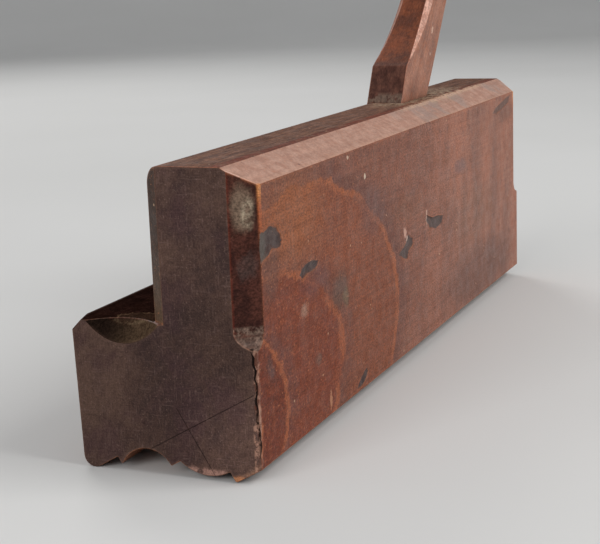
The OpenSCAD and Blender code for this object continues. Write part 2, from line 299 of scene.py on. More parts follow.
# Small pale marks on the blind side, scuffs and painted highlights on the rims of the third and fourth
# dents: centre, radii and tone
SCUFFS_AND_GLINTS = (
    ((-45.9, 63.3), (0.8, 0.9), srgb(220, 200, 176)),
    ((-58.6, 70.2), (1.0, 0.6), srgb(206, 180, 158)),
    # Painted highlights on the upper left rim of the third dent and the left rim of the fourth
    ((-13.0, 41.2), (1.4, 1.9), srgb(208, 164, 146)),
    ((-11.3, 38.9), (0.7, 1.5), srgb(222, 200, 186)),
    ((8.0, 42.2), (0.7, 2.6), srgb(204, 170, 152)),
    ((-76.0, 8.0), (0.9, 2.6), srgb(184, 128, 96)),
)
# The end grain's tones from dark to pale, its rays and its flecks
END_TONES = (srgb(59, 44, 41), srgb(74, 55, 49), srgb(88, 67, 58), srgb(92, 71, 64), srgb(128, 104, 94))
# Where the tree's heart lay, across and up from the stock's origin
HEART = (62, -30)
# Two lines across the toe's end grain: the stock is held so that the first lies level on the work
SCRIBES = (((-5.7, 5.9), (23.6, 22.4)), ((3.0, 17.4), (12.7, 1.0)))
# The split that runs down the toe beside the blind side
CRACK = (
    (23.4, 33.0), (24.0, 31.6), (23.9, 29.9), (24.5, 28.5), (24.1, 26.4), (24.6, 24.6), (24.5, 22.8),
    (24.1, 21.2), (24.5, 18.6), (24.3, 16.2), (24.7, 13.8), (24.7, 11.6), (24.9, 9.6), (24.7, 7.0),
)


def stock_fields(t):
    """Place, direction and the mottled noises that the regions share."""
    p, n = t.place()
    s = SimpleNamespace(p=p)
    s.x, s.y, s.z = t.xyz(p)
    s.nx, s.ny, s.nz = t.xyz(n)
    s.ends = t.math("ABSOLUTE", s.y)
    s.facing_end = t.math("ABSOLUTE", s.ny)
    s.knocks = t.noise(p, 0.5, 5, 0.62)
    s.worn = t.noise(p, 0.3, 5, 0.65)
    s.patches = t.noise(p, 0.06, 5, 0.58, 0.3)
    s.fringe = t.noise(p, 0.55, 3, 0.6)
    return s


def bare_wood(t, s):
    """Red-brown, duller and darker in patches."""
    color = t.ramp(
        s.patches,
        (0.32, srgb(96, 62, 52)),
        (0.46, srgb(116, 74, 60)),
        (0.58, srgb(128, 82, 64)),
        (0.72, srgb(142, 92, 70)),
    )
    shed = t.noise(t.stretch(s.p, 1, 0.25, 1), 0.12, 5, 0.6, 0.4)
    color = t.tint(color, t.step(shed, 0.52, 0.68), 0.5, srgb(150, 96, 70))
    return t.tint(color, t.step(shed, 0.46, 0.34), 0.4, srgb(86, 56, 48))


def paint_blind_side(t, s, color):
    """Mauve-brown, paler and pinker towards the heel as painted light and sheen, with tide marks
    that each have a brighter inner rim and a dull outer one."""
    s.on_blind = t.step(s.nx, 0.75, 0.9)
    # Painted light and sheen: the side and its soft smears turn paler and pinker towards the heel (far)
    drift = t.add(s.y, t.sway(s.patches, 90.0))
    far = t.step(drift, -45, 75)
    side = t.mix(far, srgb(124, 78, 62), srgb(152, 104, 86))
    soft = t.noise(t.stretch(s.p, 0.0, 0.085, 0.022), 1.0, 2, 0.45)
    side = t.tint(side, t.step(soft, 0.47, 0.63), t.mul(far, 0.6), srgb(170, 112, 90))
    side = t.tint(side, t.step(soft, 0.49, 0.34), t.mul(far, 0.5), srgb(124, 90, 79))
    side = t.tint(side, t.step(s.worn, 0.5, 0.66), 0.3, srgb(136, 84, 60))
    side = t.tint(side, t.step(s.worn, 0.46, 0.34), 0.35, srgb(92, 64, 58))

    # Place along and up, shaken so that the stains' outlines wander
    shaken_y = t.add(s.y, t.add(t.sway(t.noise(s.p, 0.05, 4, 0.5), 13.0), t.sway(s.fringe, 2.4)))
    s.elsewhere = t.stretch(s.p, 1, 1, 1, shift=(40, 15, 30))
    wander = t.sway(t.noise(s.elsewhere, 0.06, 4, 0.5), 8.0)
    shaken_z = t.add(s.z, t.add(wander, t.sway(s.fringe, 2.4)))
    s.fade = t.noise(s.elsewhere, 0.08, 3, 0.5)
    rims = []
    for centre, radii, tone, amount in TIDES:
        d = t.blob(shaken_y, shaken_z, centre, radii)
        wide = 1.0 / radii[1]  # one millimetre, as a share of the radius
        side = t.tint(side, t.step(d, 1.0 + 7 * wide, 1.0 + wide), 0.45, srgb(92, 60, 55))
        side = t.tint(side, t.step(d, 1.0 + wide * 0.45, 1.0 - wide * 0.45), amount, tone)
        rim = t.band(d, 1.0 - 1.6 * wide, 1.0, 0.5 * wide)
        rims.append(t.mul(rim, t.step(s.fade, 0.34, 0.5, 0.25, 1.0)))
    widest = t.step(t.blob(shaken_y, shaken_z, *TIDES[0][:2]), 1.0, 0.9)
    glow = t.mul(widest, t.step(s.knocks, 0.47, 0.64))
    side = t.tint(side, glow, 0.3, srgb(150, 84, 54))
    side = t.tint(side, t.top(*rims), 0.52, srgb(170, 98, 62))
    warm = t.step(t.blob(shaken_y, shaken_z, (-99, 61), (26, 15)), 1.25, 0.25)
    side = t.tint(side, warm, 0.6, srgb(150, 90, 56))
    for centre, radii, tone, amount in STAINS:
        spot = t.step(t.blob(shaken_y, shaken_z, centre, radii), 1.3, 0.5)
        side = t.tint(side, spot, amount, tone)
    return t.mix(s.on_blind, color, side)


def paint_long_chamfer(t, s, color):
    """Rubbed pale and painted paler with sheen, with grey patches near the wedge and a painted
    highlight on the nose at each end.
    """
    above = t.step(s.nx, 0.3, 0.42)
    tilted = t.step(s.nz, 0.75, 0.84)
    s.on_chamfer = t.mul(above, t.mul(tilted, t.step(s.z, CHAMFER_Z - 1.6, CHAMFER_Z - 0.4)))
    # Pale from rubbing, and paler still with painted sheen from the light above
    pale = t.mix(t.step(s.worn, 0.34, 0.66), srgb(172, 129, 111), srgb(191, 151, 133))
    greyed = t.step(s.fade, 0.5, 0.62)
    pale = t.tint(pale, greyed, t.mul(t.step(s.y, -35, 25), 0.6), srgb(158, 140, 132))
    color = t.tint(color, s.on_chamfer, 0.92, pale)
    # Painted highlight where the rounded nose at each end catches the light
    beyond = t.add(s.ends, t.mul(t.add(s.x, -19.0), 0.8))
    nose = t.mul(s.on_chamfer, t.step(t.add(beyond, t.sway(s.fringe, 0.8)), 119.5, 120.3))
    amount = t.mul(nose, 0.8)
    bright = t.mix(t.step(s.x, 19.5, 24.5), srgb(232, 192, 174), srgb(212, 160, 128))
    color = t.mix(amount, color, bright)
    brim = t.mul(s.on_chamfer, t.step(s.z, CHAMFER_Z + 1.0, CHAMFER_Z - 0.2))
    knocked = t.mul(t.step(s.knocks, 0.4, 0.56), 0.5)
    return t.tint(color, brim, knocked, srgb(206, 164, 140))


def paint_top(t, s, color):
    """Dark and grimy, red along the chamfer's edge, battered pale round the mortise."""
    s.on_top = t.mul(t.step(s.nz, 0.9, 0.97), t.step(s.z, TOP_Z - 1.2, TOP_Z - 0.4))
    lanes = t.noise(t.stretch(s.p, 1, 0.09, 0.0), 0.7, 5, 0.65)
    grime = t.mix(t.step(lanes, 0.36, 0.64), srgb(76, 49, 38), srgb(117, 81, 63))
    grime = t.tint(grime, t.step(s.knocks, 0.52, 0.64), 0.35, srgb(140, 104, 84))
    color = t.tint(color, s.on_top, 0.92, grime)
    streak = t.mul(t.band(s.x, 14.6, 17.8, 0.6), s.on_top)
    streak = t.mul(streak, t.step(s.worn, 0.34, 0.52))
    color = t.tint(color, streak, 0.75, srgb(104, 44, 28))
    zone = t.add(t.blob(s.x, s.y, (9, 48), (11, 36)), t.sway(s.fringe, 0.5))
    zone = t.mul(t.step(zone, 1.2, 0.6), t.step(s.z, TOP_Z - 3.0, TOP_Z - 1.6))
    s.battered = t.mul(zone, t.step(s.knocks, 0.42, 0.56))
    color = t.tint(color, s.battered, 0.8, srgb(168, 146, 122))
    beside = t.mul(t.band(s.x, 16.4, 18.6, 0.5), t.band(s.y, 8, 96, 8))
    bruised = t.mul(beside, t.step(s.z, TOP_Z - 1.9, TOP_Z - 1.2))
    return t.tint(color, bruised, t.mul(t.step(s.knocks, 0.4, 0.52), 0.75), srgb(204, 168, 142))


def paint_shoulder(t, s, color):
    """Nearly black with painted shadow of the upper part over dark grime, lighter in a lap beside each
    scoop, with painted highlights on the lap's edge and the outer rim.
    """
    flat = t.mul(t.step(s.nz, 0.8, 0.95), t.step(s.x, -2.8, -3.6))
    s.on_shoulder = t.mul(flat, t.band(s.z, SHOULDER_Z - 1.1, SHOULDER_Z + 0.4, 0.3))
    # Painted shadow cast by the upper part, over dark grime
    shadow_over_grime = t.mix(t.step(s.worn, 0.42, 0.7), srgb(24, 13, 11), srgb(44, 26, 22))
    color = t.tint(color, s.on_shoulder, 0.95, shadow_over_grime)
    # The painted shadow is lighter in a lap beside each scoop, where light reaches
    lap = t.add(t.blob(s.x, s.ends, (-8.5, 115.5), (6.5, 5.0)), t.sway(s.fringe, 0.7))
    color = t.tint(color, t.mul(s.on_shoulder, t.step(lap, 1.05, 0.9)), 0.75, srgb(66, 48, 37))
    # Painted highlight on the lap's edge, which catches the light
    outline = t.mul(s.on_shoulder, t.band(lap, 0.98, 1.06, 0.04))
    color = t.tint(color, outline, 0.55, srgb(136, 108, 84))
    # Painted highlight where the rounded outer arris of the shoulder catches the light
    s.rim = t.mul(s.on_shoulder, t.step(s.x, -22.9, -23.7))
    return t.tint(color, s.rim, 0.8, srgb(84, 66, 58))


def end_grain(t, p, tones, centre):
    """Colour and height of the patinated end grain: faint rings, rays and pale flecks."""
    x, _, z = t.xyz(p)
    dx, dz = t.add(x, -centre[0]), t.add(z, -centre[1])
    away = t.math("SQRT", t.add(t.mul(dx, dx), t.mul(dz, dz)))
    rings = t.math("SINE", t.add(t.mul(away, 2.3), t.mul(t.noise(p, 0.12, 3), 5.0)))
    rays = t.noise(t.stretch(p, 2.07, 0.5, 0.18, (0, -42.4, 0)), 1.0, 2, 0.6)
    weave = t.noise(t.stretch(p, 2.6, 1.0, 0.55), 1.0, 3, 0.7)
    blotch = t.noise(p, 0.07, 4, 0.6, 0.3)
    tone = t.add(t.add(t.mul(blotch, 0.7), t.mul(weave, 0.25)), t.mul(rings, 0.02))
    color = t.ramp(tone, (0.34, tones[0]), (0.47, tones[1]), (0.6, tones[2]))
    color = t.tint(color, t.step(rays, 0.58, 0.7), 0.25, tones[3])
    dots = t.noise(p, 2.3, 2, 0.6)
    color = t.tint(color, t.step(dots, 0.63, 0.73), 0.5, tones[4])
    height = t.add(t.mul(dots, 0.7), t.add(t.mul(rays, 0.35), t.mul(weave, 0.3)))
    return color, height


def paint_ends(t, s, color):
    """End grain at toe and heel, mottled from purple to olive and torn along the sole."""
    end, s.end_height = end_grain(t, s.p, END_TONES, HEART)
    s.on_end = t.step(s.facing_end, 0.86, 0.95)
    end = t.tint(end, t.step(s.patches, 0.5, 0.64), 0.2, srgb(80, 60, 50))
    end = t.tint(end, t.step(s.patches, 0.52, 0.38), 0.4, srgb(68, 47, 50))
    reed = t.noise(t.stretch(s.p, 2.4, 0.5, 0.24), 1.0, 2, 0.6)
    thread = t.noise(t.stretch(s.p, 0.22, 0.5, 2.2), 1.0, 2, 0.6)
    crossed = t.top(t.step(reed, 0.57, 0.7), t.step(thread, 0.58, 0.72))
    s.weave = t.mul(crossed, t.step(s.worn, 0.36, 0.58))
    end = t.tint(end, s.weave, 0.45, srgb(104, 82, 76))
    gaps = t.step(t.top(t.inv(reed), t.inv(thread)), 0.58, 0.72)
    end = t.tint(end, gaps, 0.3, srgb(44, 32, 29))
    # Painted light: the end grain is lighter towards the top and at the lower right, as the light falls
    lit_towards_top = t.step(s.z, 30, 60, 1.0, 1.22)
    lit_low_right = t.mul(t.step(s.x, 2, 15), t.step(s.z, 30, 10, 0.0, 0.56))
    end = t.shade(end, t.mul(lit_towards_top, t.add(1.0, lit_low_right)))
    # The fence's end, the torn lower edge beside it and the fence's bruised tip
    over_fence = t.add(t.mul(t.add(s.x, -18.0), -SPRING_SLOPE), s.z)
    across = t.step(s.x, 18, 21)
    fence = t.mul(across, t.step(t.add(over_fence, t.sway(s.fringe, 2.4)), 1.9, 0.5))
    end = t.tint(end, fence, t.mul(t.step(s.knocks, 0.34, 0.56), 0.7), srgb(156, 116, 94))
    low = t.step(t.add(s.z, t.sway(s.fringe, 3.0)), 3.6, 2.0)
    torn = t.mul(low, t.band(s.x, 3.5, 15.5, 1.0))
    end = t.tint(end, torn, t.mul(t.step(s.knocks, 0.36, 0.54), 0.8), srgb(176, 134, 120))
    tipped = t.add(t.blob(s.x, s.z, (18.8, 0.5), (2.9, 1.5)), t.sway(s.fringe, 0.8))
    end = t.tint(end, t.step(tipped, 1.1, 0.6), 0.8, srgb(204, 138, 96))
    return t.mix(s.on_end, color, end)


def paint_stopped_chamfers(t, s, color):
    """Dark red, scuffed grey at the top, with a chewed gouge-cut stop at the foot."""
    at_corner = t.mul(t.step(s.ends, 114.5, 115.7), t.step(s.x, 18.2, 18.9))
    sloping = t.band(s.facing_end, 0.66, 0.88, 0.06)
    s.facet = t.mul(at_corner, t.mul(sloping, t.step(s.z, 32.5, 33.0)))
    red = t.step(t.noise(s.p, 0.22, 4, 0.6), 0.4, 0.62)
    red = t.mix(red, srgb(46, 25, 22), srgb(70, 40, 33))
    color = t.tint(color, s.facet, 0.96, red)
    cloud = t.add(t.blob(s.x, s.z, (21.8, 66.6), (2.4, 5.4)), t.sway(s.worn, 0.9))
    cloud = t.step(cloud, 1.25, 0.55)
    beside = t.step(t.blob(s.x, s.z, (22.9, 64.6), (1.4, 4.2)), 1.3, 0.4)
    scuff = t.mul(t.step(s.knocks, 0.36, 0.62), beside)
    scuff = t.mix(scuff, srgb(114, 95, 80), srgb(168, 152, 130))
    color = t.tint(color, s.facet, t.mul(cloud, 0.88), scuff)
    low_cloud = t.add(t.blob(s.x, s.z, (22.5, 53), (2.2, 4)), t.sway(s.worn, 2.2))
    low_cloud = t.step(low_cloud, 1.2, 0.4)
    color = t.tint(color, s.facet, t.mul(low_cloud, 0.35), srgb(84, 72, 68))
    inner = t.mul(s.facet, t.step(s.x, 19.7, 19.1))
    color = t.tint(color, inner, t.step(s.fringe, 0.34, 0.5, 0.25, 0.75), srgb(80, 32, 27))
    facing_up = t.step(s.nz, 0.22, 0.4)
    s.stop = t.mul(at_corner, t.mul(facing_up, t.band(s.z, 32.5, 36.9, 0.3)))
    chewed = t.mix(t.step(s.knocks, 0.38, 0.6), srgb(78, 60, 52), srgb(122, 100, 88))
    color = t.tint(color, s.stop, 0.92, chewed)
    # Painted highlight along the crease at the top of the stop
    crease_highlight = t.band(s.z, 36.3, 38.2, 0.5)
    crease_highlight = t.mul(at_corner, t.mul(crease_highlight, t.band(s.facing_end, 0.5, 0.88, 0.06)))
    color = t.tint(color, crease_highlight, t.mul(t.step(s.knocks, 0.38, 0.54), 0.55), srgb(140, 118, 104))
    # The narrow chamfer of the upper part's other arris
    at_end = t.step(s.ends, 116.8, 117.6)
    sloping = t.band(s.facing_end, 0.5, 0.88, 0.06)
    upper_left = t.mul(at_end, t.mul(sloping, t.step(s.x, 2.5, 1.2)))
    strip = t.mix(t.step(s.z, 58, 40), srgb(50, 37, 29), srgb(86, 68, 51))
    color = t.tint(color, upper_left, 0.9, strip)
    # The painted orange highlight on the arris between the stopped chamfer and the blind side
    arris_highlight = t.mul(t.band(s.ends, 114.6, 116.1, 0.35), t.step(s.x, 24.3, 24.8))
    arris_highlight = t.mul(arris_highlight, t.step(s.z, 55, 68))
    arris_highlight_tone = t.mix(t.step(s.z, 66, 71), srgb(168, 88, 48), srgb(214, 142, 84))
    return t.tint(color, arris_highlight, 0.75, arris_highlight_tone)


def paint_scoops(t, s, color):
    """The gouged scoops in the shoulder's ends, their outer side darkened with painted shade."""
    rising = t.step(s.nz, 0.2, 0.4)
    curved = t.mul(t.step(s.nz, 0.985, 0.95), t.band(s.z, 32.0, SHOULDER_Z - 0.15, 0.12))
    hollowed = t.mul(rising, curved)
    s.scoop = t.mul(hollowed, t.mul(t.step(s.x, -0.4, -2.0), t.step(s.ends, 113.5, 115)))
    tool = t.noise(t.stretch(s.p, 1.6, 0.1, 0.1), 1.0, 2)
    # Painted shade: the scoop's outer side is near black, as if turned away from the light
    outer = t.step(s.x, -17, -6)
    gouged = t.mix(outer, srgb(26, 18, 15), t.mix(tool, srgb(60, 45, 35), srgb(90, 72, 55)))
    color = t.tint(color, s.scoop, 0.95, gouged)
    crest = t.mul(t.band(s.ends, 116.2, 116.9, 0.3), t.step(s.worn, 0.42, 0.52))
    return t.tint(color, t.mul(s.scoop, crest), 0.45, srgb(126, 106, 82))


def paint_sole(t, s, color):
    """Rubbed bright by use, in streaks along the stock."""
    below = t.mul(t.step(s.nz, -0.12, -0.35), t.step(s.z, 9.5, 8.8))
    slid = t.noise(t.stretch(s.p, 1.1, 0.025, 1.1), 1.0, 4, 0.6)
    rubbed = t.mix(t.step(slid, 0.36, 0.64), srgb(108, 64, 44), srgb(170, 112, 78))
    return t.tint(color, below, 0.8, rubbed)


def paint_cuts(t, s, color):
    """Bed, mouth and mortise: barer wood with dust."""
    run, off = along_bed(t, s.y, s.z)
    reach = t.mul(t.band(off, -0.3, 30, 0.2), t.step(run, -9, -7))
    reach = t.mul(reach, t.band(s.x, -26, 16.9, 0.05))
    s.cut = t.mul(reach, t.mul(t.step(s.facing_end, 0.3, 0.6), t.step(s.ends, 90, 80)))
    bare = t.mix(t.step(s.knocks, 0.36, 0.62), srgb(108, 76, 54), srgb(148, 110, 78))
    return t.tint(color, s.cut, 0.75, bare)


def paint_grain(t, s, color):
    """Long soft streaks, short dark pores, pale flecks and dark nicks."""
    s.long_way = t.inv(s.on_end)
    s.streaks = t.noise(t.stretch(s.p, 1, 0.03, 1), 0.8, 4, 0.6)
    s.pores = t.noise(t.stretch(s.p, 1, 0.5, 1), 2.0, 3, 0.62)
    calm = t.top(s.on_chamfer, t.mul(t.step(s.y, 0, 110), s.on_blind))
    mottle = t.step(s.pores, 0.3, 0.7, -0.36, 0.42)
    mottle = t.add(1.0, t.mul(mottle, t.inv(t.mul(calm, 0.7))))
    streaky = t.step(s.streaks, 0.3, 0.7, -0.14, 0.15)
    shade = t.mul(t.add(1.0, t.mul(streaky, t.inv(t.mul(calm, 0.55)))), mottle)
    grit = t.noise(s.p, 2.6, 2, 0.6)
    end_shade = t.step(grit, 0.3, 0.7, 0.8, 1.24)
    color = t.shade(color, t.add(t.mul(shade, s.long_way), t.mul(end_shade, s.on_end)))
    sparks = t.step(t.noise(s.p, 1.35, 1.5, 0.5), 0.64, 0.76)
    sparks = t.mul(sparks, t.inv(t.top(s.facet, s.scoop, s.stop, s.on_shoulder)))
    amount = t.mul(s.long_way, t.step(s.y, 60, -40, 0.12, 0.55))
    color = t.tint(color, sparks, amount, srgb(196, 128, 90))
    dots = t.step(t.cells(s.p, 0.2), 0.09, 0.05)
    dots = t.mul(dots, t.mul(t.step(s.worn, 0.5, 0.56), s.long_way))
    color = t.tint(color, dots, t.mul(t.inv(s.facet), 0.7), srgb(218, 180, 148))
    nicks = t.mul(t.step(t.cells(s.elsewhere, 0.22), 0.12, 0.07), t.step(s.worn, 0.44, 0.38))
    return t.tint(color, nicks, 0.6, srgb(46, 30, 27))


def paint_dents(t, s, color):
    """Slate-dark bottoms of the dents in the blind side, and the pale spots round them: scuffs and
    painted highlights on dent rims.
    """
    inboard = t.mul(t.step(s.ends, 115.0, 114.4), t.band(s.z, 4.6, CHAMFER_Z - 0.2, 0.1))
    near_toe = t.band(s.y, -116.5, -110, 0.2)
    near_toe = t.mul(near_toe, t.mul(t.band(s.z, 53.2, 61.0, 0.6), t.inv(s.facet)))
    inboard = t.top(inboard, near_toe)
    within = t.mul(t.step(s.x, BLIND_X - 0.05, BLIND_X - 0.2), t.step(s.x, 23.0, 23.6))
    s.sunk = t.mul(within, inboard)
    slate = t.mix(t.step(s.knocks, 0.4, 0.6), srgb(58, 50, 50), srgb(80, 72, 71))
    slate = t.mix(t.step(s.y, -45, -25, 0.0, 0.35), slate, srgb(104, 88, 82))
    slate = t.mix(t.step(s.y, 60, 80, 0.0, 0.6), slate, srgb(124, 92, 80))
    slate = t.tint(slate, t.step(s.y, -111, -114), 0.5, srgb(92, 92, 84))
    color = t.tint(color, s.sunk, 0.92, slate)
    for centre, radii, tone in SCUFFS_AND_GLINTS:
        spot = t.blob(s.y, s.z, centre, radii)
        spot = t.step(t.add(spot, t.sway(s.fringe, 2.4)), 1.05, 0.7)
        color = t.tint(color, t.mul(spot, s.on_blind), 0.8, tone)
    return color


def paint_arrises(t, s, color):
    """Arrises worn pale, inner corners darkened with painted shade."""
    edge = t.edge(1.3)
    hollow = t.hollow(5.0)
    rub = t.mul(t.mul(edge, t.step(s.worn, 0.34, 0.54)), t.step(hollow, 0.45, 0.15))
    # Where the shoulder meets a scoop the arris stays dark
    by_scoop = t.mul(t.band(s.z, 36.6, 38.4, 0.3), t.band(s.x, -22.5, -4.5, 1.0))
    rub = t.mul(rub, t.inv(t.mul(by_scoop, 0.85)))
    dark = t.top(s.on_end, s.scoop, s.on_shoulder)
    worn_tone = t.mix(dark, srgb(190, 118, 80), srgb(122, 94, 80))
    color = t.tint(color, rub, t.step(s.nx, 0.0, -0.4, 0.6, 0.9), worn_tone)
    # Painted shade: darker where ambient occlusion finds a tight inner corner
    return t.mix(t.step(hollow, 0.3, 0.8, 0.0, 0.65), color, srgb(30, 19, 16))


def paint_split(t, s, color):
    """The split's dark inside and the frayed arris beside it."""
    split = None
    last = len(CRACK) - 1
    for k in range(0, last, 2):
        m = t.segment(s.x, s.z, CRACK[k], CRACK[min(k + 2, last)])
        split = m if split is None else t.math("MINIMUM", split, m)
    inside = t.band(s.y, TOE_Y + 0.12, TOE_Y + 2.2, 0.1)
    inside = t.mul(inside, t.step(s.x, BLIND_X - 0.04, BLIND_X - 0.14))
    color = t.tint(color, t.mul(t.step(split, 0.75, 0.5), inside), 0.9, srgb(26, 16, 13))
    from_side = t.math("ABSOLUTE", t.add(s.x, -BLIND_X))
    from_arris = t.add(from_side, t.math("ABSOLUTE", t.add(s.y, -TOE_Y)))
    flecked = t.mul(s.on_end, t.band(s.x, 23.3, 24.6, 0.3))
    flecked = t.mul(flecked, t.mul(t.step(s.z, 18, 14), t.step(s.knocks, 0.47, 0.55)))
    fray = t.step(t.add(from_arris, t.sway(s.fringe, 2.4)), 1.2, 0.45)
    fray = t.mul(fray, t.band(s.z, 4, 33.6, 0.6))
    fray = t.mul(fray, t.step(s.z, 9, 15, 0.45, 1.0))
    s.fray = t.top(fray, t.mul(flecked, t.step(s.y, 0, -1)))
    ragged = t.mix(t.step(s.knocks, 0.42, 0.58), srgb(100, 62, 50), srgb(178, 136, 116))
    return t.tint(color, s.fray, 0.85, ragged)


def scratches(t, p, turn, scale, thin):
    """Fine straight scratches across the surface in one direction."""
    n = t.noise(t.stretch(p, 0.7, 0.05, 1.0, (turn, 0, 0)), scale, 0.0)
    return t.step(t.math("ABSOLUTE", t.add(n, -0.5)), thin, 0.0)


def paint_scratches(t, s, color):
    """Fine scratches, and the scribed lines on the toe that give the spring of the moulding."""
    marks = t.top(scratches(t, s.p, 62, 0.9, 0.003), scratches(t, s.p, -20, 0.7, 0.0025))
    s.marks = t.mul(marks, t.step(t.noise(s.p, 0.06, 2), 0.48, 0.62))
    color = t.tint(color, s.marks, 0.22, srgb(190, 146, 120))
    at_toe = t.mul(t.step(s.y, TOE_Y + 0.6, TOE_Y + 0.3), s.on_end)
    scribe = None
    for a, b in SCRIBES:
        m = t.step(t.segment(s.x, s.z, a, b), 0.2, 0.06)
        scribe = m if scribe is None else t.top(scribe, m)
    scribe = t.mul(t.mul(scribe, at_toe), t.step(s.worn, 0.34, 0.52, 0.2, 0.7))
    return t.mix(scribe, color, srgb(34, 23, 20))


def stock_material():
    t = Tree("old_beech_stock")
    s = stock_fields(t)
    color = bare_wood(t, s)
    for paint in (
        paint_blind_side,
        paint_long_chamfer,
        paint_top,
        paint_shoulder,
        paint_ends,
        paint_stopped_chamfers,
        paint_scoops,
        paint_sole,
        paint_cuts,
        paint_grain,
        paint_dents,
        paint_arrises,
        paint_split,
        paint_scratches,
    ):
        color = paint(t, s, color)

    shine = t.noise(s.p, 0.2, 4, 0.65)
    rough = t.step(shine, 0.3, 0.7, 0.4, 0.62)
    rough = t.add(rough, t.mul(t.top(s.on_end, s.cut, s.on_top), 0.12))
    dull = (s.on_shoulder, s.scoop, t.mul(s.on_end, 0.6), t.mul(s.on_top, 0.6), t.mul(s.facet, 0.7))
    gloss = t.math("SUBTRACT", 0.21, t.mul(t.top(*dull), 0.23), clamp=True)
    swell = t.mul(t.noise(s.p, 0.12, 3, 0.6), 2.0)
    height = t.add(swell, t.mul(t.add(s.pores, t.mul(s.streaks, 0.8)), s.long_way))
    rough_end = t.add(t.mul(s.end_height, 0.7), t.mul(s.weave, 0.3))
    height = t.add(height, t.mul(rough_end, s.on_end))
    height = t.add(height, t.add(t.mul(s.marks, -0.4), t.mul(s.battered, -0.9)))
    chewed = t.mul(t.top(s.stop, s.scoop, s.sunk), s.knocks)
    height = t.add(height, t.mul(chewed, 1.6))
    height = t.add(height, t.mul(t.top(s.rim, s.fray), t.mul(s.knocks, 0.8)))
    return t.finish(color, rough, height, 0.13, Specular_IOR_Level=gloss)


# --- Wedge ----------------------------------------------------------------------------------

# Places up the wedge from the bed's foot, in millimetres: where its shaped neck begins, above its
# nose, and where the part of its head begins that is struck to free it
NECK_RUN, HEAD_RUN = 92.5, 146.0
# Small marks on its blind side: place along and off the bed, radii and tone
WEDGE_MARKS = (
    ((117.4, 12.4), (1.5, 0.9), srgb(214, 178, 156)),
    ((109.5, 9.5), (0.8, 0.6), srgb(206, 168, 146)),
    ((130.0, 15.0), (2.6, 1.2), srgb(100, 74, 66)),
    ((146.0, 21.0), (3.4, 2.0), srgb(92, 70, 64)),
)


